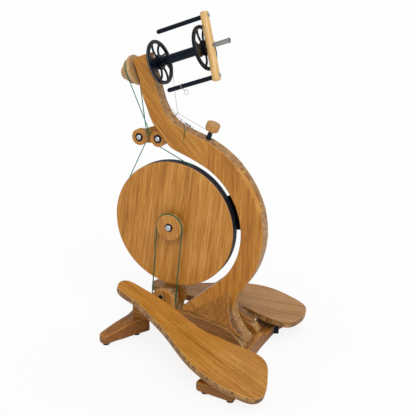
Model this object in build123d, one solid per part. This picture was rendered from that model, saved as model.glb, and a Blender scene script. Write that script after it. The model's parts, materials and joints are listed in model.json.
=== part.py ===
from build123d import *
import math
import os

os.makedirs("parts", exist_ok=True)

# Upright spinning wheel with two treadles, cut from laminated boards.
# It is drawn with the origin on the drive wheel axle, in the middle plane of
# the upright: +X runs from the whorl towards the orifice, +Z is up, and the
# treadle drive belt is on the -Y side. Millimetres throughout. The last step
# moves everything so that the origin is on the floor under the middle.

# Driving dimensions
FLOOR = -330.0          # floor below the axle
PAD_H = 5.0             # rubber foot height
FOOT_TOP = -283.0       # top of both feet at the middle
FOOT_TIP_TOP = -300.0   # top of the feet under the treadle hinges
SPINE_TOP = -231.0      # top of the long base beam
HALF = 19.0             # half thickness of the upright and the beam
GAP = 0.3               # clearance between moving pieces
RUN = 0.05              # radial clearance of a running fit

WHEEL_R = 165.0         # drive wheel over its tyre
WHEEL_HALF = 13.5       # half thickness of the drive wheel
TYRE_T = 6.5            # tyre thickness
BAND_R = 1.2            # drive band section radius
BAND_WHEEL_R = 162.6    # band centreline on the wheel
BELT_R = 1.6            # treadle belt section radius
BELT_TOP_R = 35.0       # belt centreline on the wheel pulley
BELT_LOW_R = 34.0       # belt centreline on the crank pulley
BELT_Y = -32.5          # belt plane
AXLE_R = 5.0

CRANK_X = -21.0         # crankshaft position
CRANK_Z = -210.0
CRANK_DISC_R = 35.5
CRANK_THROW = 20.0
PITMAN = 36.0           # pitman length between pins

LIMB_IN = 187.0         # inner radius of the curved upright
LIMB_OUT = 246.0        # outer radius of the curved upright
GRIP_R = 250.0          # raised hand grip on the limb

FLYER_Z = 417.1         # flyer axis height where it crosses the axle line
FLYER_TILT = 18.92      # flyer axis rise towards the orifice
FLYER_TURN = 14.4       # turn of the crossbar about the flyer axis
HEAD_FRONT = -56.0      # faces of the head block along the flyer axis
HEAD_REAR = -96.0
BOBBIN_REAR = -36.3     # middles of the bobbin flanges along the axis
BOBBIN_FRONT = 88.1
FLANGE_R = 54.0
CROSSBAR_A = 103.3      # crossbar centre along the axis
ARM_OFFSET = 71.3       # flyer arms from the axis
ARM_END = -30.0         # free ends of the arms along the axis
ARM_R = 5.4
ORIFICE_A = 154.4       # mouth of the orifice
SPINDLE_R = 4.0
WHORL_A = -118.0        # whorl groove carrying the band
WHORL_R = 28.5          # band centreline in that groove

IDLERS = {"left": (-93.0, 217.0), "right": (-41.0, 217.5)}
IDLER_R = 20.5
IDLER_BAND_R = 18.6
IDLER_HALF = 8.0

SPLAY = 15.0            # treadle and hinge splay
HINGE_X = 232.2         # treadle hinge pin at the treadle centreline
HINGE_Y = 155.0
HINGE_Z = -287.0
HINGE_DROP = 7.0        # hinge pin below the treadle's underside
TREADLE_T = 18.0
TREADLE_TILT = {"near": 16.3, "far": 7.6}
SIDES = {"near": -1, "far": 1}

nodes = {}


def polar(radius, angle):
    """Point (x, z) on a circle about the wheel axle."""
    turn = math.radians(angle)
    return (radius * math.cos(turn), radius * math.sin(turn))


def on_axis(along, up=0.0):
    """Point (x, z) along the flyer axis and up above it."""
    tilt = math.radians(FLYER_TILT)
    x = along * math.cos(tilt) - up * math.sin(tilt)
    return (x, FLYER_Z + along * math.sin(tilt) + up * math.cos(tilt))


def slab(outline, y0, y1):
    """Board cut to an (x, z) outline between two y planes."""
    return extrude(Plane.XZ.offset(-y0) * outline, amount=y0 - y1)


def rod(x, z, radius, y0, y1):
    """Round rod along y."""
    return slab(Pos(x, z) * Circle(radius), y0, y1)


def turned(profile, x=0.0, z=0.0):
    """Piece turned about an axis along y, from (radius, y) points."""
    return Pos(x, 0, z) * revolve(make_face(Polyline(*profile, close=True)), Axis.Y)


def ring_groove(radius, section, y=0.0, x=0.0, z=0.0):
    """Round groove cut by a band that runs about an axis along y."""
    return Pos(x, y, z) * Rot(90, 0, 0) * Torus(radius, section)


def rounded(piece, axis, radius):
    """Ease the arrises round the two faces that look along an axis."""
    faces = piece.faces().filter_by(axis)
    ends = faces.sort_by(axis)
    return fillet(ends[0].edges() + ends[-1].edges(), radius)


def follow(path, radius):
    """Round cord along a path: one length per edge, with a ball at each sharp bend."""
    cord = None
    last = None
    for length in path.edges():
        section = Plane(length @ 0, z_dir=length % 0) * Circle(radius)
        piece = sweep(section, path=length)
        if last is not None and last.get_angle(length % 0) > 0.5:
            piece = piece.fuse(Pos(*(length @ 0)) * Sphere(1.05 * radius))
        cord = piece if cord is None else cord.fuse(piece)
        last = length % 1
    return cord


def group(pieces):
    """Matching pieces of one body kept together as one node."""
    return Compound([solid for piece in pieces for solid in piece.solids()])


# Flyer frame: local z runs along the axis, local x along the crossbar
tilt_rad = math.radians(FLYER_TILT)
turn_rad = math.radians(FLYER_TURN)
AXIS = Vector(math.cos(tilt_rad), 0, math.sin(tilt_rad))
LIFT = Vector(-math.sin(tilt_rad), 0, math.cos(tilt_rad))
SIDE = Vector(0, 1, 0)
BAR = LIFT * math.cos(turn_rad) + SIDE * math.sin(turn_rad)
FLYER = Plane(origin=(0, 0, FLYER_Z), x_dir=BAR, z_dir=AXIS)


def flyer_turned(profile):
    """Piece turned about the flyer axis, from (radius, along) points."""
    face = Plane.XZ * make_face(Polyline(*profile, close=True))
    return FLYER * revolve(face, Axis.Z)


def flyer_rod(radius, a0, a1, offset=0.0):
    """Rod along the flyer axis, set off along the crossbar."""
    return FLYER * Pos(offset, 0, a0) * Cylinder(
        radius, a1 - a0, align=(Align.CENTER, Align.CENTER, Align.MIN))


# ---------------------------------------------------------------- upright
HEAD_TOP = 28.5         # head block above the flyer axis
SPINE_END = 165.0       # where the base beam meets the heel of the upright
KNOB_ANGLE = 68.2       # tension knob on the outer edge
KNOB_FOOT = 247.8       # foot of its stem from the axle

head_nose = on_axis(HEAD_FRONT, -26)
head_heel = on_axis(HEAD_REAR + 1, -22)
toe_in = polar(184, -44)
heel_out = polar(238, -36)
with BuildSketch() as upright_face:
    with BuildLine():
        Polyline(head_heel, on_axis(HEAD_REAR, 23), on_axis(HEAD_REAR + 8, HEAD_TOP),
                 on_axis(HEAD_FRONT, HEAD_TOP), head_nose)
        Spline(head_nose, (-33, 335), (-17, 292), (16, 259), (64, 240),
               polar(LIMB_OUT + 1, 62), tangents=[(0.32, -0.95), (0.88, -0.47)])
        ThreePointArc(polar(LIMB_OUT + 1, 62), polar(LIMB_OUT + 1, 53),
                      polar(LIMB_OUT + 1, 44.4))
        Line(polar(LIMB_OUT + 1, 44.4), polar(GRIP_R - 8, 44.4))
        ThreePointArc(polar(GRIP_R - 8, 44.4), polar(GRIP_R - 8, 30),
                      polar(GRIP_R - 8, 15.6))
        Line(polar(GRIP_R - 8, 15.6), polar(LIMB_OUT, 15.6))
        ThreePointArc(polar(LIMB_OUT, 15.6), polar(243.5, -8), heel_out)
        Spline(heel_out, (172, -185), (171, -222), (191, -260), (212, FOOT_TOP),
               tangents=[(-0.59, -0.81), (0.75, -0.66)])
        Polyline((212, FOOT_TOP), (SPINE_END, FOOT_TOP), (SPINE_END, SPINE_TOP),
                 (29, SPINE_TOP), (26, -222), (32, -216), toe_in)
        ThreePointArc(toe_in, polar(LIMB_IN, 12), polar(LIMB_IN, 66))
        Spline(polar(LIMB_IN, 66), (30, 190), (-9, 210), (-21.5, 229), (-43, 251), (-64, 296),
               (-80, 345), head_heel, tangents=[(-0.91, 0.41), (-0.32, 0.95)])
    make_face()
upright = rounded(slab(upright_face.sketch, -HALF, HALF), Axis.Y, 2.5)

# Hand grip: a raised length of the limb with its outer arrises well rounded
with BuildSketch() as grip_face:
    with BuildLine():
        ThreePointArc(polar(GRIP_R, 44.4), polar(GRIP_R, 30), polar(GRIP_R, 15.6))
        Line(polar(GRIP_R, 15.6), polar(LIMB_IN + 20, 15.6))
        ThreePointArc(polar(LIMB_IN + 20, 15.6), polar(LIMB_IN + 20, 30),
                      polar(LIMB_IN + 20, 44.4))
        Line(polar(LIMB_IN + 20, 44.4), polar(GRIP_R, 44.4))
    make_face()
grip = slab(grip_face.sketch, -HALF, HALF)
grip = fillet(grip.edges().filter_by(GeomType.CIRCLE).sort_by(Edge.length)[-2:], 13)
upright = upright + grip

knob_foot = Vector(polar(KNOB_FOOT, KNOB_ANGLE)[0], 0, polar(KNOB_FOOT, KNOB_ANGLE)[1])
KNOB = Plane(origin=knob_foot, z_dir=knob_foot)
upright -= flyer_rod(9, HEAD_REAR - 5, HEAD_FRONT + 5)
upright -= KNOB * Pos(0, 0, -26) * Cylinder(3 + RUN, 80)
nodes["upright"] = upright

nodes["head_bearing"] = flyer_turned([
    (SPINDLE_R + RUN, HEAD_REAR - 2), (12, HEAD_REAR - 2), (12, HEAD_REAR), (9, HEAD_REAR),
    (9, HEAD_FRONT), (12, HEAD_FRONT), (12, HEAD_FRONT + 2), (SPINDLE_R + RUN, HEAD_FRONT + 2)])

# ---------------------------------------------------------------- base
SPINE_START = -123.0
spine = Pos((SPINE_START + SPINE_END) / 2, 0, (FOOT_TOP + SPINE_TOP) / 2) * Box(
    SPINE_END - SPINE_START, 2 * HALF, SPINE_TOP - FOOT_TOP)
spine = fillet(spine.faces().sort_by(Axis.X)[0].edges(), 3)
nodes["spine_beam"] = spine


def foot(half_outline, tip_top, y_taper, y_low, y_end):
    """Cross foot: half its plan outline mirrored, top falling to the tips, arrises eased."""
    half = make_face(half_outline)
    plan = half + mirror(half, Plane.XZ)
    body = extrude(Plane.XY.offset(FLOOR + PAD_H) * plan, amount=FOOT_TOP - FLOOR - PAD_H)
    with BuildSketch(Plane.YZ) as end_view:
        with BuildLine():
            Polyline((0, FLOOR), (y_end, FLOOR), (y_end, tip_top), (y_low, tip_top))
            Spline((y_low, tip_top), (y_taper, FOOT_TOP), tangents=[(-1, 0.1), (-1, 0)])
            Polyline((y_taper, FOOT_TOP), (0, FOOT_TOP), (0, FLOOR))
        make_face()
        mirror(about=Plane.YZ)
    body = body & extrude(end_view.sketch, amount=400, both=True)
    top_edges = body.edges().filter_by(lambda edge: edge.center().Z > -302)
    return fillet(top_edges, 6)


front_edge = (Curve()
              + Line((228, 0), (200, 0))
              + Spline((200, 0), (196, -40), (176, -120), (156, -205),
                       tangents=[(0, -1), (-0.2, -1)])
              + ThreePointArc((156, -205), (158, -216), (169, -220))
              + Line((169, -220), (246, -230))
              + ThreePointArc((246, -230), (257, -227), (260, -216))
              + Spline((260, -216), (237, -150), (231, -100), (228, 0),
                       tangents=[(-0.1, 1), (0, 1)]))
nodes["front_foot"] = foot(front_edge, FOOT_TIP_TOP, 42, 75, 260)
rear_edge = (Curve()
             + Line((-82, 0), (-148, 0))
             + Spline((-148, 0), (-161, -55), (-177, -101), tangents=[(0, -1), (-0.25, -1)])
             + ThreePointArc((-177, -101), (-165, -115), (-143, -107))
             + Spline((-143, -107), (-124, -72), (-104, -35), (-82, 0),
                      tangents=[(0.3, 1), (0.5, 1)]))
nodes["rear_foot"] = foot(rear_edge, -300, 20, 112, 130)

rubber = [(-158, 101), (-112, 20), (178, 207), (246, 216), (212, 60)]
nodes["rubber_feet"] = group([
    Pos(x, side * y, FLOOR) * Cylinder(9, PAD_H, align=(Align.CENTER, Align.CENTER, Align.MIN))
    for x, y in rubber for side in (-1, 1)])

# Splayed rails against the beam and leaning buttresses against the upright
with BuildSketch(Plane.XZ) as rail_side:
    with BuildLine():
        Polyline((21, FOOT_TOP), (21, SPINE_TOP - 0.5), (160, SPINE_TOP - 8))
        Spline((160, SPINE_TOP - 8), (196, SPINE_TOP - 25), (216, FOOT_TOP),
               tangents=[(1, -0.05), (0.25, -1)])
        Line((216, FOOT_TOP), (21, FOOT_TOP))
    make_face()
rail_plan = make_face(Polyline((21, -HALF), (21, -20), (228, -68), (228, -37),
                               (148, -HALF), close=True))
rail = extrude(Plane.XY.offset(FOOT_TOP) * rail_plan, amount=60)
rail = rail & extrude(rail_side.sketch, amount=120)
nodes["near_rail"] = rail
nodes["far_rail"] = mirror(rail, Plane.XZ)

low = Vector(47, -HALF, SPINE_TOP + 3)
out = Vector(200, -60, -256)
high = Vector(158, -HALF, -150)
LEAN = Plane(origin=low, x_dir=high - low, z_dir=(high - low).cross(low - out))
with BuildSketch() as buttress_face:
    with BuildLine():
        Polyline((-4, 4), (131, 4), (135, 0))
        Spline((135, 0), (119, -34), (108, -60), (108, -88), (124, -121),
               tangents=[(-0.2, -1), (0.5, -1)])
        Line((124, -121), (108, -125))
        Line((108, -125), (-4, 4))
    make_face()
buttress = LEAN * extrude(buttress_face.sketch, amount=-24)
keep = Pos(110, -HALF - 60, -150) * Box(300, 120, 200)
buttress = (buttress & keep) - rail - slab(Rectangle(900, 900), -HALF, HALF)
nodes["near_buttress"] = buttress
nodes["far_buttress"] = mirror(buttress, Plane.XZ)

# ---------------------------------------------------------------- drive wheel
AXLE_BORE = 11.0
seat = WHEEL_R - TYRE_T
LIP = 2.5               # wooden lip that hides the tyre from the near side
nodes["wheel_disc"] = turned([
    (AXLE_BORE, -WHEEL_HALF), (WHEEL_R - 2, -WHEEL_HALF), (WHEEL_R - 0.8, -WHEEL_HALF + 1.2),
    (WHEEL_R - 0.8, -WHEEL_HALF + LIP), (seat, -WHEEL_HALF + LIP),
    (seat, WHEEL_HALF - 2), (seat - 2, WHEEL_HALF), (AXLE_BORE, WHEEL_HALF)])
tyre = turned([
    (seat, -WHEEL_HALF + LIP), (WHEEL_R, -WHEEL_HALF + LIP), (WHEEL_R, WHEEL_HALF - 2.5),
    (WHEEL_R - 1, WHEEL_HALF - 1.5), (seat, WHEEL_HALF - 1.5)])
band_way = BAND_R + GAP
nodes["wheel_tyre"] = tyre - turned([
    (BAND_WHEEL_R - band_way, -1), (BAND_WHEEL_R, -band_way), (WHEEL_R + 1, -band_way - 0.4),
    (WHEEL_R + 1, band_way + 0.4), (BAND_WHEEL_R, band_way), (BAND_WHEEL_R - band_way, 1)])

PULLEY_FRONT = -36.6
PULLEY_BACK = -25.0
nodes["wheel_pulley"] = turned([
    (AXLE_BORE, PULLEY_FRONT), (33, PULLEY_FRONT), (34, PULLEY_FRONT + 1),
    (34, BELT_Y - 2.2), (BELT_TOP_R - 2.2, BELT_Y - 1.4), (BELT_TOP_R - 2.2, BELT_Y + 1.4),
    (36.5, BELT_Y + 3), (36.5, PULLEY_BACK - 1), (35.5, PULLEY_BACK), (16, PULLEY_BACK),
    (16, -WHEEL_HALF), (AXLE_BORE, -WHEEL_HALF)])
nodes["wheel_bearing"] = turned([
    (AXLE_R + RUN, PULLEY_FRONT + 0.4), (AXLE_BORE, PULLEY_FRONT + 0.4),
    (AXLE_BORE, WHEEL_HALF), (AXLE_R + RUN, WHEEL_HALF)])
nodes["axle_bolt"] = turned([
    (0, -41.5), (6.6, -41.5), (7.6, -40.5), (7.6, PULLEY_FRONT - GAP),
    (AXLE_R, PULLEY_FRONT - GAP), (AXLE_R, WHEEL_HALF + GAP), (9, WHEEL_HALF + GAP),
    (9, HALF), (AXLE_R, HALF), (AXLE_R, 25.3), (9, 25.3), (9, 31), (0, 31)])

# Steel arm that carries the axle from the far face of the limb
plate = make_hull(Circle(25).edges() + (Pos(188, 52.5) * RectangleRounded(74, 85, 8)).edges())
arm = slab(plate, HALF, 25.3) - rod(0, 0, AXLE_R, 0, 40)
arm_holes = [polar(215, angle) for angle in (6, 13, 20)]
for x, z in arm_holes:
    arm -= rod(x, z, 3.2, 0, 40)
nodes["axle_arm"] = arm
nodes["arm_screws"] = group([
    turned([(0, HALF), (3.2, HALF), (3.2, 25.3), (6, 25.3), (6, 27.8), (4.5, 29), (0, 29)], x, z)
    for x, z in arm_holes])

# ---------------------------------------------------------------- crankshaft
nodes["crankshaft"] = rod(CRANK_X, CRANK_Z, AXLE_R, -36.6, 36.6)
crank_pins = []
block = Pos(CRANK_X, 0, (SPINE_TOP - 190) / 2) * Box(40, 30, -190 - SPINE_TOP)
block = fillet(block.edges().filter_by(Axis.Y).sort_by(Axis.Z)[-2:], 16)
nodes["crank_bearing"] = block - rod(CRANK_X, CRANK_Z, AXLE_R + RUN, -30, 30)

for name, side in SIDES.items():
    pin_z = CRANK_Z - side * CRANK_THROW
    disc = turned([
        (AXLE_R, 25), (CRANK_DISC_R - 1, 25), (CRANK_DISC_R, 26), (CRANK_DISC_R, 29.6),
        (BELT_LOW_R - 2.2, 31.3), (BELT_LOW_R - 2.2, 33.7), (CRANK_DISC_R, 35.2),
        (CRANK_DISC_R, 36), (CRANK_DISC_R - 1, 37), (AXLE_R, 37)], CRANK_X, CRANK_Z)
    if name == "near":
        disc = mirror(disc, Plane.XZ)
    disc -= rod(CRANK_X, pin_z, 4, side * 20, side * 40)
    nodes[name + "_crank_disc"] = disc
    pin = [(0, 26), (4, 26), (4, 37), (6, 37), (6, 40), (4, 40), (4, 47.3), (5.5, 47.3),
           (5.5, 49.5), (4.5, 50.5), (0, 50.5)]
    pin = turned(pin, CRANK_X, pin_z)
    strap = make_hull((Pos(CRANK_X, pin_z) * Circle(7)).edges()
                      + (Pos(CRANK_X, pin_z - PITMAN) * Circle(7)).edges())
    strap = slab(strap, 40.3, 47)
    strap -= rod(CRANK_X, pin_z, 4 + RUN, 30, 60)
    strap -= rod(CRANK_X, pin_z - PITMAN, 4, 30, 60)
    low_pin = turned([(0, 38.5), (5.5, 38.5), (5.5, 40.3), (4, 40.3), (4, 47), (5.5, 47),
                      (5.5, 49), (4, 49), (4, 55), (0, 55)], CRANK_X, pin_z - PITMAN)
    if name == "near":
        pin, strap, low_pin = [mirror(piece, Plane.XZ) for piece in (pin, strap, low_pin)]
    crank_pins.append(pin)
    nodes[name + "_pitman"] = strap
    nodes[name + "_pitman_pin"] = low_pin
nodes["crank_pins"] = group(crank_pins)

# ---------------------------------------------------------------- treadles
outlines = {
    "near": [(-361, -14), (-296, -23), (-225, -27), (-171, -22), (-120, -26), (-86, -37),
             (-38, -54), (0, -67), (28, -68), (50, -56), (68, -34), (97, 10), (107, 40),
             (99, 64), (73, 79), (20, 94), (-31, 97), (-78, 92), (-122, 80), (-184, 60),
             (-256, 46), (-320, 39), (-362, 40), (-382, 28), (-388, 8), (-380, -7)],
    "far": [(-335, -12), (-285, -21), (-215, -28), (-150, -28), (-98, -27), (-56, -50),
            (-20, -64), (8, -71), (30, -68), (48, -49), (64, -15), (70, 18), (67, 44),
            (50, 68), (18, 92), (-19, 113), (-56, 123), (-100, 120), (-155, 102),
            (-210, 75), (-262, 55), (-315, 51), (-343, 42), (-354, 28), (-358, 8),
            (-350, -6)]}

hinge_brackets = []
hinge_pins = []
for name, side in SIDES.items():
    splay = math.radians(SPLAY)
    tilt = math.radians(TREADLE_TILT[name])
    run = Vector(math.cos(splay), side * math.sin(splay), 0)
    normal = run * math.sin(tilt) + Vector(0, 0, math.cos(tilt))
    along = run * math.cos(tilt) - Vector(0, 0, math.sin(tilt))
    hinge = Vector(HINGE_X, side * HINGE_Y, HINGE_Z)
    deck = Plane(origin=hinge + normal * (HINGE_DROP + TREADLE_T), x_dir=along, z_dir=normal)
    outline = [(u, side * v) for u, v in outlines[name]]
    board = extrude(deck * make_face(Spline(*outline, periodic=True)), amount=-TREADLE_T)
    board = fillet(board.edges().sort_by(SortBy.LENGTH)[-2:], 2.5)
    nodes[name + "_treadle"] = board

    # Hinge: a lug under the board turns on a pin held by two ears on the foot
    pin_frame = Plane(origin=hinge, x_dir=run, z_dir=Vector(0, 0, 1).cross(run) * side)
    lug = pin_frame * Pos(0, 0, -43) * Cylinder(6.2, 40)
    lug += Plane(origin=hinge, x_dir=along, z_dir=normal) * Pos(0, -43 * side, HINGE_DROP / 2) * Box(
        12.4, 40, HINGE_DROP)
    lug -= pin_frame * Pos(0, 0, -43) * Cylinder(4 + RUN, 60)
    nodes[name + "_hinge_lug"] = lug
    foot_frame = Plane(origin=(hinge.X, hinge.Y, FOOT_TIP_TOP), x_dir=run, z_dir=(0, 0, 1))
    ear_h = HINGE_Z - FOOT_TIP_TOP
    bracket = foot_frame * Pos(-1.5, -43 * side, 1.5) * Box(13, 62, 3)
    for ear_v in (-70, -16):
        bracket += pin_frame * Pos(0, 0, ear_v) * Cylinder(5.5, 6)
        bracket += foot_frame * Pos(0, ear_v * side, ear_h / 2) * Box(11, 6, ear_h)
    bracket -= pin_frame * Pos(0, 0, -43) * Cylinder(4, 80)
    hinge_brackets.append(bracket)
    hinge_pins.append(pin_frame * Pos(0, 0, -43) * Cylinder(4, 64))

    # Bracket under the toe that meets the pitman pin
    eye_z = CRANK_Z - side * CRANK_THROW - PITMAN
    tab = make_hull((Pos(CRANK_X, eye_z) * Circle(8)).edges()
                    + (Pos(CRANK_X, eye_z + 30) * Rectangle(30, 6)).edges())
    tab = slab(tab, side * 58.3, side * 66)
    under = deck * Pos(0, 0, 50 - TREADLE_T) * Box(900, 400, 100)
    tab = tab - under - rod(CRANK_X, eye_z, 4.3, side * 50, side * 63)
    nodes[name + "_toe_bracket"] = tab
nodes["hinge_brackets"] = group(hinge_brackets)
nodes["hinge_pins"] = group(hinge_pins)

# ---------------------------------------------------------------- band idlers
bracket_face = make_face(Polyline((-88, 234), (-30, 257), (-5, 205), (-88, 200), close=True))
bracket_face += Pos(*IDLERS["left"]) * Circle(17)
idler_arm = slab(bracket_face, IDLER_HALF + 0.5, HALF)
idler_arm -= slab(upright_face.sketch, -HALF, HALF + 1)
bolts = []
for name, (x, z) in IDLERS.items():
    nodes[name + "_idler"] = turned([
        (11, -IDLER_HALF), (IDLER_R - 1, -IDLER_HALF), (IDLER_R, -IDLER_HALF + 1),
        (IDLER_R, -4), (IDLER_BAND_R - 2.2, -1.2), (IDLER_BAND_R - 2.2, 1.2), (IDLER_R, 4),
        (IDLER_R, IDLER_HALF - 1), (IDLER_R - 1, IDLER_HALF), (11, IDLER_HALF)], x, z)
    nodes[name + "_idler_bearing"] = turned([
        (4 + RUN, -IDLER_HALF + 0.3), (11, -IDLER_HALF + 0.3), (11, IDLER_HALF),
        (4 + RUN, IDLER_HALF)], x, z)
    bolts.append(turned([
        (0, -12), (4.5, -12), (6.3, -10.5), (6.3, -IDLER_HALF - GAP), (4, -IDLER_HALF - GAP),
        (4, 24), (0, 24)], x, z))
    idler_arm -= rod(x, z, 4, 0, 30)
nodes["idler_arm"] = idler_arm
nodes["idler_bolts"] = group(bolts)

# ---------------------------------------------------------------- drive band
def tangent_run(start, r_start, goal, r_goal):
    """Straight run leaving one circle on its left and meeting the other on its right."""
    dx = goal[0] - start[0]
    dz = goal[1] - start[1]
    span = math.hypot(dx, dz)
    lean = math.asin((r_start + r_goal) / span)
    heading = math.atan2(dz, dx) - lean
    side_x = -math.sin(heading)
    side_z = math.cos(heading)
    leave = (start[0] + r_start * side_x, start[1] + r_start * side_z)
    meet = (goal[0] - r_goal * side_x, goal[1] - r_goal * side_z)
    return leave, meet


def lay(point, y=0.0):
    """Space point from (x, z)."""
    return Vector(point[0], y, point[1])


left = IDLERS["left"]
right = IDLERS["right"]
wheel_left, left_low = tangent_run((0, 0), BAND_WHEEL_R, left, IDLER_BAND_R)
wheel_right, right_low = tangent_run((0, 0), BAND_WHEEL_R, (-right[0], right[1]), IDLER_BAND_R)
wheel_right = (-wheel_right[0], wheel_right[1])
right_low = (-right_low[0], right_low[1])
groove = Vector(0, 0, FLYER_Z) + AXIS * WHORL_A
sag = math.radians(9)
whorl_far = groove + SIDE * (WHORL_R * math.cos(sag)) - LIFT * (WHORL_R * math.sin(sag))
whorl_near = groove - SIDE * (WHORL_R * math.cos(sag)) - LIFT * (WHORL_R * math.sin(sag))
whorl_top = groove + LIFT * WHORL_R


def upper_contact(idler, hand):
    """Where the strand to the whorl leaves an idler on its right (1) or left (-1)."""
    dx = groove.X - idler[0]
    dz = groove.Z - WHORL_R * math.sin(sag) - idler[1]
    heading = math.atan2(dz, dx) + hand * math.asin(IDLER_BAND_R / math.hypot(dx, dz))
    turn = heading - hand * math.pi / 2
    return (idler[0] + IDLER_BAND_R * math.cos(turn), idler[1] + IDLER_BAND_R * math.sin(turn))


def middle(centre, radius, first, last):
    """Middle point of the short arc between two points of a circle."""
    mx = (first[0] + last[0]) / 2 - centre[0]
    mz = (first[1] + last[1]) / 2 - centre[1]
    reach = math.hypot(mx, mz)
    return (centre[0] + radius * mx / reach, centre[1] + radius * mz / reach)


left_up = upper_contact(left, 1)
right_up = upper_contact(right, -1)
left_mid = middle(left, IDLER_BAND_R, left_low, left_up)
right_mid = middle(right, IDLER_BAND_R, right_low, right_up)
band_path = Wire([
    ThreePointArc(lay(wheel_right), lay((0, -BAND_WHEEL_R)), lay(wheel_left)),
    Line(lay(wheel_left), lay(left_low)),
    ThreePointArc(lay(left_low), lay(left_mid), lay(left_up)),
    Line(lay(left_up), whorl_far),
    ThreePointArc(whorl_far, whorl_top, whorl_near),
    Line(whorl_near, lay(right_up)),
    ThreePointArc(lay(right_up), lay(right_mid), lay(right_low)),
    Line(lay(right_low), lay(wheel_right))])
nodes["drive_band"] = follow(band_path, BAND_R)

drop = math.hypot(CRANK_X, CRANK_Z)
fall = math.degrees(math.atan2(CRANK_Z, CRANK_X))
spread = math.degrees(math.acos((BELT_TOP_R - BELT_LOW_R) / drop))


def on_crank(radius, angle):
    """Point (x, z) on a circle about the crankshaft."""
    x, z = polar(radius, angle)
    return (CRANK_X + x, CRANK_Z + z)


belt_path = Wire([
    ThreePointArc(*[lay(polar(BELT_TOP_R, fall + turn), BELT_Y)
                    for turn in (spread, 180, 360 - spread)]),
    Line(lay(polar(BELT_TOP_R, fall - spread), BELT_Y), lay(on_crank(BELT_LOW_R, fall - spread), BELT_Y)),
    ThreePointArc(*[lay(on_crank(BELT_LOW_R, fall + turn), BELT_Y) for turn in (-spread, 0, spread)]),
    Line(lay(on_crank(BELT_LOW_R, fall + spread), BELT_Y), lay(polar(BELT_TOP_R, fall + spread), BELT_Y))])
nodes["treadle_belt"] = follow(belt_path, BELT_R)

# ---------------------------------------------------------------- flyer
nodes["flyer_spindle"] = flyer_rod(SPINDLE_R, -143, CROSSBAR_A)
nodes["whorl"] = flyer_turned([
    (SPINDLE_R, -141.5), (14, -141.5), (15, -140.5), (15, -138), (13, -135.5), (16, -133),
    (21, -132.5), (22, -131.5), (22, -130), (19.5, -127.5), (23, -124.5), (29, -124),
    (30, -123), (30, -121.5), (26, -119.2), (26, -116.8), (31, -114), (35, -111.5),
    (37, -109), (37, -103), (36, -102), (SPINDLE_R, -102)])

crossbar = FLYER * Pos(0, 0, CROSSBAR_A) * Rot(0, 90, 0) * Cylinder(10, 162.4)
crossbar = fillet(crossbar.edges().filter_by(GeomType.CIRCLE), 1.8)
crossbar -= flyer_rod(SPINDLE_R, 90, CROSSBAR_A)
crossbar -= flyer_rod(5.6, CROSSBAR_A, 120)
for offset in (-ARM_OFFSET, ARM_OFFSET):
    crossbar -= flyer_rod(4.6, CROSSBAR_A + 8, 120, offset)
    crossbar -= flyer_rod(ARM_R, 90, CROSSBAR_A + 6, offset)
nodes["crossbar"] = crossbar
nodes["flyer_arms"] = group([
    flyer_rod(ARM_R, ARM_END + ARM_R, CROSSBAR_A + 6, offset)
    + FLYER * Pos(offset, 0, ARM_END + ARM_R) * Sphere(ARM_R)
    for offset in (-ARM_OFFSET, ARM_OFFSET)])
nodes["arm_caps"] = group([
    flyer_rod(4.6, CROSSBAR_A + 8, CROSSBAR_A + 11.4, offset)
    for offset in (-ARM_OFFSET, ARM_OFFSET)])
nodes["orifice"] = flyer_turned([
    (4.4, CROSSBAR_A + 3), (4.4, ORIFICE_A - 1), (5, ORIFICE_A), (6.2, ORIFICE_A),
    (6.5, ORIFICE_A - 0.4), (6.5, ORIFICE_A - 2.4), (5.6, ORIFICE_A - 3), (5.6, CROSSBAR_A),
    (0, CROSSBAR_A), (0, CROSSBAR_A + 3)])

# ---------------------------------------------------------------- bobbin
def flange(along, rim_t, web_t):
    """Bobbin flange with eight curved spokes and one closed sector."""
    ring = Pos(26.5, -21.7) * (Circle(28.4) - Circle(23.8))
    spoke = ring & Pos(31, -2) * Rectangle(42, 20)
    windows = Circle(45.5) - Circle(19)
    for turn in range(8):
        windows -= Rot(0, 0, 45 * turn + 34.5) * spoke
    windows -= make_face(Polyline((0, 0), polar(60, 79), polar(66, 102), polar(60, 125), close=True))
    web = extrude(Circle(46.5) - windows, amount=web_t / 2, both=True)
    rim = extrude(Circle(FLANGE_R) - Circle(45.5), amount=rim_t / 2, both=True)
    rim = fillet(rim.edges(), 1.6)
    hub = Cylinder(17, 10)
    return FLYER * Pos(0, 0, along) * (web + rim + hub - Cylinder(9, 20))


bore = SPINDLE_R + RUN
rear_flange = flange(BOBBIN_REAR, 7, 3.5)
rear_flange -= FLYER * Pos(0, 0, BOBBIN_REAR) * Torus(FLANGE_R + 0.4, 0.9)
nodes["bobbin_rear_flange"] = rear_flange
nodes["bobbin_front_flange"] = flange(BOBBIN_FRONT, 7, 3.5)
nodes["bobbin_core"] = flyer_turned([
    (9, BOBBIN_REAR + 5), (11.2, BOBBIN_REAR + 5), (11.2, BOBBIN_FRONT - 5), (9, BOBBIN_FRONT - 5)])
nodes["bobbin_bushes"] = group([
    flyer_turned([(bore, along - 5.6), (9, along - 5.6), (9, along + 5), (bore, along + 5)])
    for along in (BOBBIN_REAR, BOBBIN_FRONT)])

# Wire hook that slides along the lower flyer arm
HOOK_A = 11.0
hook_ring = FLYER * Pos(-ARM_OFFSET, 0, HOOK_A) * Torus(ARM_R + 0.7, 0.6)
hook_stem = FLYER * Polyline((-ARM_OFFSET - 6.1, 0, HOOK_A), (-ARM_OFFSET - 9, 0, HOOK_A + 2),
                             (-ARM_OFFSET - 11.6, 0, HOOK_A + 6))
hook_loop = FLYER * Pos(-ARM_OFFSET - 16.4, 0, HOOK_A + 8.5) * Rot(90, 0, 0) * Torus(5.4, 0.6)
nodes["sliding_hook"] = hook_ring + follow(hook_stem, 0.6) + hook_loop

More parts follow.
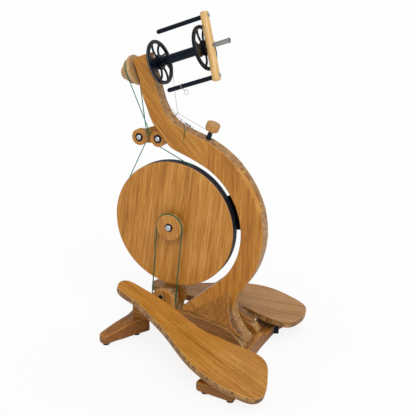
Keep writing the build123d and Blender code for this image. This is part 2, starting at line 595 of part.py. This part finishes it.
# ---------------------------------------------------------------- tension knob and brake
knob = Pos(0, 0, 32.5) * Cylinder(17, 20)
knob = fillet(knob.edges().filter_by(GeomType.CIRCLE).sort_by(Axis.Z)[0], 6)
knob = fillet(knob.edges().filter_by(GeomType.CIRCLE).sort_by(Axis.Z)[-1], 2.5)
nodes["tension_knob"] = KNOB * knob
stem_turn = [(0, -24), (3, -24), (3, 0), (6.5, 0), (6.3, 3), (5.2, 22.5), (0, 22.5)]
nodes["tension_stem"] = KNOB * revolve(Plane.XZ * make_face(Polyline(*stem_turn, close=True)), Axis.Z)


def screw_eye(x, y, z, rise, lean):
    """Wire eye on a shank, standing on the outer edge of the upright."""
    up = Vector(1, 0, 0).rotate(Axis.Y, -lean)
    frame = Plane(origin=(x, y, z), x_dir=up.cross(Vector(0, 1, 0)), z_dir=up)
    shank = Pos(0, 0, (rise - 2.6) / 2 - 4) * Cylinder(0.8, rise + 5.4)
    return frame * (shank + Pos(0, 0, rise) * Rot(0, 90, 0) * Torus(2.6, 0.7))


EYE = (-2.5, 14.0, 274.6)
eyes = [screw_eye(*EYE, 10, 50), screw_eye(11.5, 15, 262.9, 4, 53),
        screw_eye(44, 12, 246, 3.6, 68)]
nodes["brake_eyes"] = group(eyes)
for eye in eyes:
    nodes["upright"] -= eye

rim_r = FLANGE_R + 0.4
rim_mid = Vector(0, 0, FLYER_Z) + AXIS * BOBBIN_REAR


def on_rim(angle):
    """Point of the brake groove, turned from +Y over the top."""
    turn = math.radians(angle)
    return rim_mid + SIDE * (rim_r * math.cos(turn)) + LIFT * (rim_r * math.sin(turn))


eye_top = Vector(EYE[0] + 10 * math.cos(math.radians(50)), EYE[1],
                 EYE[2] + 10 * math.sin(math.radians(50)))
stem_end = KNOB.from_local_coords(Vector(0, 0, 19)) + Vector(-5.9, 3, 0)
brake_path = Wire([
    Line(stem_end, eye_top),
    Line(eye_top, on_rim(-18)),
    ThreePointArc(on_rim(-18), on_rim(100), on_rim(218)),
    Line(on_rim(218), Vector(-20, 14, 302)),
    Line(Vector(-20, 14, 302), Vector(-2, 16.5, 278)),
    Line(Vector(-2, 16.5, 278), Vector(14, 15, 266)),
    Line(Vector(14, 15, 266), Vector(24, 14.5, 259.6))])
nodes["brake_line"] = follow(brake_path, 0.45)

coil = Helix(pitch=1.3, height=18, radius=1.8)
coil = sweep(Plane(coil @ 0, z_dir=coil % 0) * Circle(0.4), path=coil)
coil_start = Vector(24.6, 14.4, 259.4)
coil_end = Vector(42, 12.6, 251.5)
nodes["brake_spring"] = Plane(origin=coil_start, z_dir=coil_end - coil_start) * coil
nodes["brake_cord"] = follow(Polyline(
    (22, 11.5, 259.4), (38.4, -17, 251.6), (39.1, -20.7, 246), (36.4, -20.5, 226)), 0.9)

# ---------------------------------------------------------------- export
boxes = [piece.bounding_box() for piece in nodes.values()]
mid_x = (min(box.min.X for box in boxes) + max(box.max.X for box in boxes)) / 2
mid_y = (min(box.min.Y for box in boxes) + max(box.max.Y for box in boxes)) / 2
shift = Pos(-mid_x, -mid_y, -FLOOR)
for name, piece in nodes.items():
    export_step(shift * piece, "parts/" + name + ".step")
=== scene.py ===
import bpy
import json
import math
from mathutils import Matrix, Vector


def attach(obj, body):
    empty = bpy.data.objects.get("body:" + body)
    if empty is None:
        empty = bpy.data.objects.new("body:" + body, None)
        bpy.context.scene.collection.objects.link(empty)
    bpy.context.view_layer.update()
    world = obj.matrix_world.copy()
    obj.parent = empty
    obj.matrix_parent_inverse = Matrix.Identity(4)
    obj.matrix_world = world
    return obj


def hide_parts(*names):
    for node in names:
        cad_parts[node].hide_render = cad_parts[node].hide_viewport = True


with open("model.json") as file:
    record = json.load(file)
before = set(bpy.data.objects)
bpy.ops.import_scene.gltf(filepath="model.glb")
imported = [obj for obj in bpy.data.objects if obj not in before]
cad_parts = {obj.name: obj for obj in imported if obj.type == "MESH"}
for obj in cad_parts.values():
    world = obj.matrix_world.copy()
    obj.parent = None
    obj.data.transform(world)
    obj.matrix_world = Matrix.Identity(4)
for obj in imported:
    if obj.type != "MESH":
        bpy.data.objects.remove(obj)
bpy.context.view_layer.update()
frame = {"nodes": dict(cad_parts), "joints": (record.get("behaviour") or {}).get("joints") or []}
cad = frame["nodes"]
joints = {joint["name"]: joint for joint in frame["joints"]}
axle = Vector(joints["wheel_spin"]["pos_m"])

# Camera: a long lens a little above the treadles, looking down on the front
# left of the wheel, so that the flyer points up and to the right.
lens = bpy.data.cameras.new("camera")
lens.lens = 68.66
camera = bpy.data.objects.new("camera", lens)
bpy.context.scene.collection.objects.link(camera)
camera.location = axle + Vector((0.85589, -1.68968, 0.70103))
camera.rotation_euler = (math.radians(90 - 19.228), 0, math.radians(24.337))
bpy.context.scene.camera = camera


# ---------------------------------------------------------------------------
# The studio: a seamless white floor that runs out of view, under a bright
# overcast sky and one broad soft lamp high on the right.
def linear(hex_colour):
    """The linear colour that a socket takes, from sRGB hex."""
    parts = [int(hex_colour[i:i + 2], 16) / 255 for i in (1, 3, 5)]
    return (*[p / 12.92 if p <= 0.04045 else ((p + 0.055) / 1.055) ** 2.4 for p in parts], 1.0)


def add(tree, kind, inputs=None, **settings):
    """One node: inputs are values or the sockets that feed it, settings its properties."""
    node = tree.nodes.new(kind)
    for name, value in settings.items():
        setattr(node, name, value)
    for name, value in (inputs or {}).items():
        if isinstance(value, bpy.types.NodeSocket):
            tree.links.new(value, node.inputs[name])
        else:
            node.inputs[name].default_value = value
    return node


def new_material(name):
    """An empty material with its output, and the tree to fill."""
    material = bpy.data.materials.new(name)
    material.use_nodes = True
    material.node_tree.nodes.clear()
    return material, material.node_tree, add(material.node_tree, "ShaderNodeOutputMaterial")


floor_paint, tree, out = new_material("matt_white_floor")
white = add(tree, "ShaderNodeBsdfDiffuse", {"Color": linear("#f7f7f6")})
clean = add(tree, "ShaderNodeEmission", {"Color": linear("#ffffff"), "Strength": 1.0})
floor_rays = add(tree, "ShaderNodeLightPath")
lift = add(tree, "ShaderNodeMath", {0: floor_rays.outputs["Is Camera Ray"], 1: 0.86},
           operation="MULTIPLY")
floor_mix = add(tree, "ShaderNodeMixShader", {0: lift.outputs[0], 1: white.outputs[0],
                                              2: clean.outputs[0]})
tree.links.new(floor_mix.outputs[0], out.inputs["Surface"])
floor_mesh = bpy.data.meshes.new("studio_floor")
floor_mesh.from_pydata([(-40, -40, 0), (40, -40, 0), (40, 40, 0), (-40, 40, 0)], [],
                       [(0, 1, 2, 3)])
floor_mesh.materials.append(floor_paint)
floor = bpy.data.objects.new("studio_floor", floor_mesh)
bpy.context.scene.collection.objects.link(floor)

sky = bpy.data.worlds.new("overcast_sky")
sky.use_nodes = True
sky.node_tree.nodes.clear()
rays = add(sky.node_tree, "ShaderNodeLightPath")
seen = add(sky.node_tree, "ShaderNodeMath", {0: rays.outputs["Is Camera Ray"],
                                             1: rays.outputs["Is Transmission Ray"]},
           operation="MAXIMUM")
dim = add(sky.node_tree, "ShaderNodeBackground", {"Color": linear("#ffffff"), "Strength": 0.62})
bright = add(sky.node_tree, "ShaderNodeBackground", {"Color": linear("#ffffff"), "Strength": 1.0})
mixed = add(sky.node_tree, "ShaderNodeMixShader", {0: seen.outputs[0], 1: dim.outputs[0],
                                                   2: bright.outputs[0]})
world_out = add(sky.node_tree, "ShaderNodeOutputWorld", {"Surface": mixed.outputs[0]})
bpy.context.scene.world = sky
bpy.context.scene.view_settings.view_transform = "Standard"

lamp = bpy.data.lights.new("soft_lamp", "SUN")
lamp.energy = 1.5
lamp.angle = math.radians(40)
lamp_object = bpy.data.objects.new("soft_lamp", lamp)
bpy.context.scene.collection.objects.link(lamp_object)
lamp_object.rotation_euler = (math.radians(38), math.radians(20), math.radians(10))


# ---------------------------------------------------------------------------
# Laminated bamboo boards, 18 or 19 mm: strips 6 mm wide are glued side by
# side into two thin face plies and a crosswise core, sawn to shape, sanded and
# oiled. Faces show long streaks, sawn edges show the core as small blocks.
def bamboo(name, pieces, across, grain, face_tones, edge_tones, boards=1, shift=0.0, scarf=None):
    """Oiled bamboo board on the CAD pieces of these names, strips along grain.

    A scarf is (x, grain): short of that x the board is a second lay of strips."""
    strip_wide, stave_wide, block_high, knuckle_gap = 5.6, 17.0, 9.5, 290.0
    whole_board = 1e6
    ply_share = 0.19
    material, tree, out = new_material(name)
    dark, mid, light = [linear(tone) for tone in face_tones]
    edge_dark, edge_light = [linear(tone) for tone in edge_tones]
    grain = Vector(grain).normalized()
    across = (Vector(across) - grain * grain.dot(Vector(across))).normalized()
    thick = grain.cross(across)
    reach = [1000 * thick.dot(vertex.co) for vertex in cad[pieces[0]].data.vertices]
    turn = Matrix((across, thick, grain)).to_euler()
    place = add(tree, "ShaderNodeTexCoord")
    mm = add(tree, "ShaderNodeMapping", {"Vector": place.outputs["Object"], "Rotation": turn,
                                         "Scale": (1000, 1000, 1000), "Location": (shift, 0, 0)})
    if scarf:
        scarf_x, lay_grain = scarf[0], Vector(scarf[1]).normalized()
        lay_turn = Matrix((thick.cross(lay_grain), thick, lay_grain)).to_euler()
        lay = add(tree, "ShaderNodeMapping", {"Vector": place.outputs["Object"],
                                              "Rotation": lay_turn, "Scale": (1000, 1000, 1000),
                                              "Location": (shift + 240, 0, 60)})
        where = add(tree, "ShaderNodeSeparateXYZ", {"Vector": place.outputs["Object"]})
        short = add(tree, "ShaderNodeMath", {0: where.outputs["X"], 1: scarf_x},
                    operation="LESS_THAN")
        change = add(tree, "ShaderNodeVectorMath", {0: lay.outputs[0], 1: mm.outputs[0]},
                     operation="SUBTRACT")
        mm = add(tree, "ShaderNodeVectorMath", {0: change.outputs[0], 1: short.outputs[0],
                                                2: mm.outputs[0]}, operation="MULTIPLY_ADD")
    axes = add(tree, "ShaderNodeSeparateXYZ", {"Vector": mm.outputs[0]})

    # Tone of each strip, and of the wider staves that were glued up first
    strip_cell = add(tree, "ShaderNodeVectorMath", {
        0: mm.outputs[0], 1: (strip_wide, whole_board, whole_board)}, operation="SNAP")
    strip_tone = add(tree, "ShaderNodeTexWhiteNoise", {"Vector": strip_cell.outputs[0]})
    stave_cell = add(tree, "ShaderNodeVectorMath", {
        0: mm.outputs[0], 1: (stave_wide, whole_board, whole_board)}, operation="SNAP")
    stave_tone = add(tree, "ShaderNodeTexWhiteNoise", {"Vector": stave_cell.outputs[0]})

    # Streaks some 4 by 90 mm that split into finer ones, threads, and slow clouds
    stretched = add(tree, "ShaderNodeMapping", {"Vector": mm.outputs[0],
                                                "Scale": (0.24, 0.24, 0.011)})
    streaks = add(tree, "ShaderNodeTexNoise", {"Vector": stretched.outputs[0], "Scale": 1.0,
                                               "Detail": 4.0, "Roughness": 0.62,
                                               "Distortion": 0.25})
    drawn = add(tree, "ShaderNodeMapping", {"Vector": mm.outputs[0], "Scale": (1.7, 1.7, 0.05)})
    threads = add(tree, "ShaderNodeTexNoise", {"Vector": drawn.outputs[0], "Scale": 1.0,
                                               "Detail": 2.0})
    clouds = add(tree, "ShaderNodeTexNoise", {"Vector": mm.outputs[0], "Scale": 0.013,
                                              "Detail": 2.0})
    sums = [(strip_tone.outputs["Value"], 0.15), (stave_tone.outputs["Value"], 0.15),
            (streaks.outputs[0], 1.25), (threads.outputs[0], 0.42), (clouds.outputs[0], 0.34)]
    total = None
    for socket, weight in sums:
        before = total.outputs[0] if total else 0.5 - sum(w for _, w in sums) / 2
        total = add(tree, "ShaderNodeMath", {0: socket, 1: weight, 2: before},
                    operation="MULTIPLY_ADD")
    face = add(tree, "ShaderNodeValToRGB", {"Fac": total.outputs[0]})
    ramp = face.color_ramp
    ramp.elements[0].position, ramp.elements[0].color = 0.10, dark
    ramp.elements[1].position, ramp.elements[1].color = 0.90, light
    ramp.elements.new(0.5).color = mid

    # Knuckles of the culm, a thin brown line across a strip at each gap,
    # scattered pores 0.5 by 7 mm, and the glue line at each side of a strip
    offset = add(tree, "ShaderNodeMath", {0: strip_tone.outputs["Value"], 1: 900.0,
                                          2: axes.outputs["Z"]}, operation="MULTIPLY_ADD")
    beat = add(tree, "ShaderNodeMath", {0: offset.outputs[0], 1: knuckle_gap / 2},
               operation="PINGPONG")
    knuckle = add(tree, "ShaderNodeMapRange", {"Value": beat.outputs[0], "From Min": 0.6,
                                               "From Max": 2.2, "To Min": 0.5, "To Max": 0.0},
                  interpolation_type="SMOOTHSTEP")
    dashes = add(tree, "ShaderNodeMapping", {"Vector": mm.outputs[0], "Scale": (1.9, 1.9, 0.13)})
    pores = add(tree, "ShaderNodeTexNoise", {"Vector": dashes.outputs[0], "Scale": 1.0,
                                             "Detail": 0.0})
    pore = add(tree, "ShaderNodeMapRange", {"Value": pores.outputs[0], "From Min": 0.64,
                                            "From Max": 0.78, "To Max": 0.45})
    side = add(tree, "ShaderNodeMath", {0: axes.outputs["X"], 1: strip_wide / 2},
               operation="PINGPONG")
    glue = add(tree, "ShaderNodeMapRange", {"Value": side.outputs[0], "From Min": 0.1,
                                            "From Max": 0.45, "To Min": 0.08, "To Max": 0.0})
    marks = add(tree, "ShaderNodeMath", {0: knuckle.outputs[0], 1: pore.outputs[0]},
                operation="MAXIMUM")
    marks = add(tree, "ShaderNodeMath", {0: marks.outputs[0], 1: glue.outputs[0]},
                operation="MAXIMUM")
    marked = add(tree, "ShaderNodeMix", {"Factor": marks.outputs[0], "A": face.outputs[0],
                                         "B": edge_dark}, data_type="RGBA")

    # Sawn edges: the crosswise core as blocks between two thin face plies,
    # with a dark glue line where ply meets ply and board meets board
    layers = add(tree, "ShaderNodeMapRange", {"Value": axes.outputs["Y"], "From Min": min(reach),
                                              "From Max": max(reach), "To Min": 0.0,
                                              "To Max": float(boards)})
    depth = add(tree, "ShaderNodeMath", {0: layers.outputs[0], 1: 0.5}, operation="PINGPONG")
    core = add(tree, "ShaderNodeMath", {0: depth.outputs[0], 1: ply_share},
               operation="GREATER_THAN")
    block_cell = add(tree, "ShaderNodeVectorMath", {
        0: mm.outputs[0], 1: (whole_board, block_high, strip_wide)}, operation="SNAP")
    block_tone = add(tree, "ShaderNodeTexWhiteNoise", {"Vector": block_cell.outputs[0]})
    layer_tone = add(tree, "ShaderNodeMix", {"Factor": core.outputs[0],
                                             "A": streaks.outputs[0],
                                             "B": block_tone.outputs["Value"]}, data_type="FLOAT")
    grit = add(tree, "ShaderNodeTexNoise", {"Vector": mm.outputs[0], "Scale": 0.9, "Detail": 4.0})
    even = add(tree, "ShaderNodeMath", {0: layer_tone.outputs["Result"], 1: 0.85, 2: -0.1},
               operation="MULTIPLY_ADD")
    rough_tone = add(tree, "ShaderNodeMath", {0: grit.outputs[0], 1: 0.35, 2: even.outputs[0]},
                     operation="MULTIPLY_ADD")
    sawn = add(tree, "ShaderNodeValToRGB", {"Fac": rough_tone.outputs[0]})
    sawn.color_ramp.elements[0].position, sawn.color_ramp.elements[0].color = 0.15, edge_dark
    sawn.color_ramp.elements[1].position, sawn.color_ramp.elements[1].color = 0.85, edge_light
    seam = add(tree, "ShaderNodeMath", {0: depth.outputs[0], 1: ply_share, 2: 0.022},
               operation="COMPARE")
    seam_share = add(tree, "ShaderNodeMath", {0: seam.outputs[0], 1: 0.45}, operation="MULTIPLY")
    seamed = add(tree, "ShaderNodeMix", {"Factor": seam_share.outputs[0], "A": sawn.outputs[0],
                                         "B": edge_dark}, data_type="RGBA")
    facing = add(tree, "ShaderNodeVectorMath", {0: place.outputs["Normal"], 1: thick},
                 operation="DOT_PRODUCT")
    flat = add(tree, "ShaderNodeMath", {0: facing.outputs["Value"]}, operation="ABSOLUTE")
    edge = add(tree, "ShaderNodeMapRange", {"Value": flat.outputs[0], "From Min": 0.30,
                                            "From Max": 0.62, "To Min": 1.0, "To Max": 0.0},
               interpolation_type="SMOOTHSTEP")
    sides = add(tree, "ShaderNodeMix", {"Factor": edge.outputs[0], "A": marked.outputs["Result"],
                                        "B": seamed.outputs["Result"]}, data_type="RGBA")
    # The arris is sanded through to paler wood; the pale band along it is also a painted
    # highlight
    rubbed = add(tree, "ShaderNodeMath", {0: flat.outputs[0], 1: 0.72, 2: 0.17},
                 operation="COMPARE")
    worn_and_highlight_share = add(tree, "ShaderNodeMath", {0: rubbed.outputs[0], 1: 0.45}, operation="MULTIPLY")
    colour = add(tree, "ShaderNodeMix", {"Factor": worn_and_highlight_share.outputs[0], "A": sides.outputs["Result"],
                                         "B": light}, data_type="RGBA")

    gloss = add(tree, "ShaderNodeMapRange", {"Value": streaks.outputs[0], "From Min": 0.3,
                                             "From Max": 0.7, "To Min": 0.40, "To Max": 0.54})
    height = add(tree, "ShaderNodeMath", {0: threads.outputs[0], 1: marks.outputs[0]},
                 operation="SUBTRACT")
    relief = add(tree, "ShaderNodeBump", {"Height": height.outputs[0], "Strength": 0.3,
                                          "Distance": 0.0003})
    shader = add(tree, "ShaderNodeBsdfPrincipled", {
        "Base Color": colour.outputs["Result"], "Roughness": gloss.outputs[0],
        "Normal": relief.outputs[0], "IOR": 1.43})
    tree.links.new(shader.outputs[0], out.inputs["Surface"])
    finish_with(material, *pieces)
    return material


def finish_with(material, *names):
    """The CAD pieces of these names take one material."""
    for name in names:
        mesh = cad[name].data
        mesh.materials.clear()
        mesh.materials.append(material)


# The upright is two boards glued face to face and cut to one sweeping curve,
# with its strips standing; the idler bracket is let into its back.
bamboo("oiled_bamboo_upright", ("upright", "idler_arm"), (1, 0, 0), (0.03, 0, 1),
       ("#85490a", "#b0721f", "#cf9648"), ("#8a5c2a", "#bc905a"), boards=2,
       scarf=(0.024, (-0.66, 0, 0.75)))

# The base: a long beam on edge between two cross feet that lie flat. Rails
# and buttresses are cut from single boards and rubbed round by hand.
bamboo("oiled_bamboo_beam", ("spine_beam",), (0, 0, 1), (1, 0, 0),
       ("#653608", "#935a1c", "#b27c36"), ("#6a4826", "#a88558"), boards=2)


def rubbed_round(node, finish, voxel, passes):
    """A copy of a CAD piece whose arrises are rubbed down; it stands for the piece."""
    mesh = cad[node].data.copy()
    piece = bpy.data.objects.new(node + "_rubbed", mesh)
    bpy.context.scene.collection.objects.link(piece)
    skin = piece.modifiers.new("skin", "REMESH")
    skin.mode, skin.voxel_size, skin.use_smooth_shade = "VOXEL", voxel, True
    ease = piece.modifiers.new("ease", "SMOOTH")
    ease.factor, ease.iterations = 0.5, passes
    graph = bpy.context.evaluated_depsgraph_get()
    piece.data = bpy.data.meshes.new_from_object(piece.evaluated_get(graph))
    piece.modifiers.clear()
    piece.data.materials.clear()
    piece.data.materials.append(finish)
    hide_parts(node)
    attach(piece, "root")
    return piece


for foot in ("front_foot", "rear_foot"):
    foot_bamboo = bamboo("oiled_bamboo_" + foot, (foot,), (1, 0, 0), (0, 1, 0),
                         ("#6d3f0e", "#966022", "#b8813c"), ("#7c4c1a", "#95612a"), boards=2)
    rubbed_round(foot, foot_bamboo, voxel=0.002, passes=32)

for side, sign in (("near", -1), ("far", 1)):
    rail_bamboo = bamboo("oiled_bamboo_%s_rail" % side, (side + "_rail",), (0, 0, 1),
                         (0.93, 0.2 * sign, 0), ("#5e3406", "#8c571b", "#ad7937"),
                         ("#7c5628", "#b98d55"))
    rubbed_round(side + "_rail", rail_bamboo, voxel=0.0015, passes=5)
    face = max(cad[side + "_buttress"].data.polygons, key=lambda polygon: polygon.area)
    standing = Vector((0, 0, 1)) - face.normal * face.normal.z
    # The buttress's sawn edges take darker tones than its faces: painted shade, as if those edges
    # stood in shadow beside the upright
    buttress_bamboo = bamboo("oiled_bamboo_%s_buttress" % side, (side + "_buttress",),
                             face.normal.cross(standing), standing,
                             ("#74400c", "#9a6320", "#bd8740"), ("#5e3a12", "#875c2a"))
    rubbed_round(side + "_buttress", buttress_bamboo, voxel=0.0015, passes=6)

# The drive wheel is one thick laminated disc, turned true on its own axle,
# with the pulley for the treadle belt screwed to its near side.
bamboo("oiled_bamboo_wheel", ("wheel_disc",), (1, 0, -0.14), (0.14, 0, 1),
       ("#8c5010", "#b77926", "#d59d55"), ("#a87a42", "#dcae78"), boards=2, shift=2.0)
for piece in ("wheel_pulley", "near_crank_disc", "far_crank_disc", "crank_bearing",
              "left_idler", "right_idler", "near_pitman", "far_pitman"):
    bamboo("oiled_bamboo_" + piece, (piece,), (1, 0, 0), (-0.25, 0, 1),
           ("#84500f", "#b17428", "#cf9a50"), ("#85603a", "#c29a68"), shift=3.1)

# The treadles are foot-shaped boards, sawn from one lay of strips that run
# from heel to toe, with rounded arrises.
for side, sign, tones in (("near", -1, ("#8c5210", "#b67a28", "#d59f52")),
                          ("far", 1, ("#84552a", "#ab7a45", "#c99c68"))):
    splay = math.radians(15)
    tilt = math.radians({"near": 16.3, "far": 7.6}[side])
    heel_to_toe = (-math.cos(splay) * math.cos(tilt), -sign * math.sin(splay) * math.cos(tilt),
                   math.sin(tilt))
    bamboo("oiled_bamboo_%s_treadle" % side, (side + "_treadle",), (0, 1, 0), heel_to_toe,
           tones, ("#6a4722", "#a67b46"), shift=1.3)


# ---------------------------------------------------------------------------
# Turned wood: the whorl and the knob are turned from a close brown hardwood,
# the crossbar from pale maple. Turning leaves very fine rings round them.
def turned_wood(name, grain, mid, dark, light, roughness):
    """Lathe-turned close-grained wood: soft streaks along the grain under a thin oil."""
    material, tree, out = new_material(name)
    along = Vector(grain).normalized()
    turn = along.rotation_difference(Vector((0, 0, 1))).to_euler()
    place = add(tree, "ShaderNodeTexCoord")
    mm = add(tree, "ShaderNodeMapping", {"Vector": place.outputs["Object"], "Rotation": turn,
                                         "Scale": (1000, 1000, 1000)})
    drawn = add(tree, "ShaderNodeMapping", {"Vector": mm.outputs[0], "Scale": (0.45, 0.45, 0.03)})
    rings = add(tree, "ShaderNodeTexNoise", {"Vector": drawn.outputs[0], "Scale": 1.0,
                                             "Detail": 4.0, "Roughness": 0.6, "Distortion": 0.4})
    pores = add(tree, "ShaderNodeMapping", {"Vector": mm.outputs[0], "Scale": (3.2, 3.2, 0.35)})
    flecks = add(tree, "ShaderNodeTexNoise", {"Vector": pores.outputs[0], "Scale": 1.0,
                                              "Detail": 1.0})
    both = add(tree, "ShaderNodeMath", {0: flecks.outputs[0], 1: 0.35, 2: rings.outputs[0]},
               operation="MULTIPLY_ADD")
    tone = add(tree, "ShaderNodeValToRGB", {"Fac": both.outputs[0]})
    ramp = tone.color_ramp
    ramp.elements[0].position, ramp.elements[0].color = 0.42, linear(dark)
    ramp.elements[1].position, ramp.elements[1].color = 0.95, linear(light)
    ramp.elements.new(0.67).color = linear(mid)
    relief = add(tree, "ShaderNodeBump", {"Height": flecks.outputs[0], "Strength": 0.15,
                                          "Distance": 0.0002})
    shader = add(tree, "ShaderNodeBsdfPrincipled", {
        "Base Color": tone.outputs[0], "Roughness": roughness, "Normal": relief.outputs[0],
        "IOR": 1.5, "Coat Weight": 0.15, "Coat Roughness": 0.25})
    tree.links.new(shader.outputs[0], out.inputs["Surface"])
    return material


flyer_axis = Vector(joints["flyer_spin"]["axis"])
maple = turned_wood("oiled_maple", (-0.31, 0.25, 0.92), "#daae6c", "#bb8c50", "#ecc88e", 0.42)
finish_with(maple, "crossbar")
finish_with(turned_wood("oiled_walnut_whorl", flyer_axis, "#b99160", "#93703f", "#d8b486", 0.42),
            "whorl")
finish_with(turned_wood("oiled_beech_knob", joints["brake_knob_turn"]["axis"],
                        "#b8813e", "#8f5e28", "#d6a562", 0.38), "tension_knob")


# ---------------------------------------------------------------------------
# Moulded and coated black parts. Injection-moulded ABS has an even satin
# skin with a fine grain; the steel rods are powder coated, a little rougher;
# rubber is duller still and picks up dust in its grain. The tyre's grey patches
# are dust and a painted sheen.
def black(name, colour, roughness, grain_mm, grain_depth, dust_and_sheen="#3c3a36", dust_and_sheen_share=0.06):
    """Satin black skin with fine grain of that size and grey patches of dust and painted sheen.
    """
    material, tree, out = new_material(name)
    place = add(tree, "ShaderNodeTexCoord")
    grain = add(tree, "ShaderNodeTexNoise", {"Vector": place.outputs["Object"],
                                             "Scale": 1000 / grain_mm, "Detail": 2.0})
    patches = add(tree, "ShaderNodeTexNoise", {"Vector": place.outputs["Object"], "Scale": 38.0,
                                               "Detail": 4.0})
    # Grey patches: dust, and on the tyre, with its large share, also a painted sheen
    dust_and_sheen_mask = add(tree, "ShaderNodeMapRange", {"Value": patches.outputs[0], "From Min": 0.45,
                                             "From Max": 0.75, "To Max": dust_and_sheen_share})
    colour = add(tree, "ShaderNodeMix", {"Factor": dust_and_sheen_mask.outputs[0], "A": linear(colour),
                                         "B": linear(dust_and_sheen)}, data_type="RGBA")
    rough = add(tree, "ShaderNodeMapRange", {"Value": patches.outputs[0], "From Min": 0.3,
                                             "From Max": 0.7, "To Min": roughness - 0.05,
                                             "To Max": roughness + 0.07})
    relief = add(tree, "ShaderNodeBump", {"Height": grain.outputs[0], "Strength": grain_depth,
                                          "Distance": 0.0002})
    shader = add(tree, "ShaderNodeBsdfPrincipled", {
        "Base Color": colour.outputs["Result"], "Roughness": rough.outputs[0],
        "Normal": relief.outputs[0], "Specular IOR Level": 0.32,
        "Specular Tint": linear("#b4ccf8")})
    tree.links.new(shader.outputs[0], out.inputs["Surface"])
    return material


moulded_abs = black("moulded_black_abs", "#06080d", 0.24, 0.8, 0.12)
finish_with(moulded_abs, "bobbin_rear_flange", "bobbin_front_flange", "bobbin_core")
finish_with(black("moulded_green_black_abs", "#0c1a1a", 0.28, 0.8, 0.12), "tension_stem")
powder_coat = black("black_powder_coated_steel", "#06080d", 0.30, 0.5, 0.2)
finish_with(powder_coat, "flyer_arms", "axle_arm", "arm_screws", "hinge_brackets")
finish_with(black("blackened_steel_pins", "#0b0b0d", 0.34, 0.6, 0.1), "crank_pins",
            "near_pitman_pin", "far_pitman_pin", "hinge_pins")
acetal = black("black_acetal", "#0c0e12", 0.30, 0.7, 0.1)
finish_with(acetal, "near_toe_bracket", "far_toe_bracket",
            "near_hinge_lug", "far_hinge_lug", "wheel_bearing", "left_idler_bearing",
            "right_idler_bearing", "head_bearing", "bobbin_bushes")
# The tyre's bluish grey patches at a large share are dust and a painted sheen on the rubber
tyre_rubber = black("black_tyre_rubber", "#26252d", 0.55, 0.6, 0.3, "#5a5862", 0.3)
finish_with(tyre_rubber, "wheel_tyre", "rubber_feet")


# ---------------------------------------------------------------------------
# Bright steel: axle bolts and shafts are turned and lightly polished,
# so their highlights are drawn out round them; the orifice is a steel tube.
def turned_steel(name, colour, roughness):
    """Turned steel with faint tool marks."""
    material, tree, out = new_material(name)
    place = add(tree, "ShaderNodeTexCoord")
    marks = add(tree, "ShaderNodeTexNoise", {"Vector": place.outputs["Object"], "Scale": 1400.0,
                                             "Detail": 2.0})
    smears = add(tree, "ShaderNodeTexNoise", {"Vector": place.outputs["Object"], "Scale": 120.0,
                                              "Detail": 3.0})
    rough = add(tree, "ShaderNodeMapRange", {"Value": smears.outputs[0], "From Min": 0.3,
                                             "From Max": 0.7, "To Min": roughness - 0.06,
                                             "To Max": roughness + 0.08})
    relief = add(tree, "ShaderNodeBump", {"Height": marks.outputs[0], "Strength": 0.08,
                                          "Distance": 0.0001})
    shader = add(tree, "ShaderNodeBsdfPrincipled", {
        "Base Color": linear(colour), "Metallic": 1.0, "Roughness": rough.outputs[0],
        "Normal": relief.outputs[0]})
    tree.links.new(shader.outputs[0], out.inputs["Surface"])
    return material


bright_steel = turned_steel("turned_steel", "#b9bbbd", 0.26)
finish_with(bright_steel, "axle_bolt", "idler_bolts", "crankshaft", "arm_caps", "flyer_spindle",
            "brake_eyes", "sliding_hook", "brake_spring")
finish_with(turned_steel("drawn_steel_tube", "#a5a6a5", 0.34), "orifice")


# ---------------------------------------------------------------------------
# Stretch cord: round polyurethane in teal for the drive band, in dark green
# for the treadle belt, and a thin olive cord on the knob. The brake line is
# grey monofilament.
def extruded(name, colour, shade, roughness):
    """Round extruded plastic cord, slightly cloudy along its length."""
    material, tree, out = new_material(name)
    place = add(tree, "ShaderNodeTexCoord")
    haze = add(tree, "ShaderNodeTexNoise", {"Vector": place.outputs["Object"], "Scale": 90.0,
                                            "Detail": 3.0})
    colour = add(tree, "ShaderNodeMix", {"Factor": haze.outputs[0], "A": linear(colour),
                                         "B": linear(shade)}, data_type="RGBA")
    shader = add(tree, "ShaderNodeBsdfPrincipled", {
        "Base Color": colour.outputs["Result"], "Roughness": roughness, "IOR": 1.5})
    tree.links.new(shader.outputs[0], out.inputs["Surface"])
    return material


finish_with(extruded("teal_polyurethane_cord", "#2c8f74", "#1c6f58", 0.36), "drive_band")
finish_with(extruded("green_polyurethane_cord", "#0f5f38", "#0c4c30", 0.36), "treadle_belt")
finish_with(extruded("olive_green_cord", "#2f6b35", "#24552b", 0.45), "brake_cord")
finish_with(extruded("grey_monofilament", "#7b8386", "#687074", 0.30), "brake_line")

bpy.context.view_layer.update()
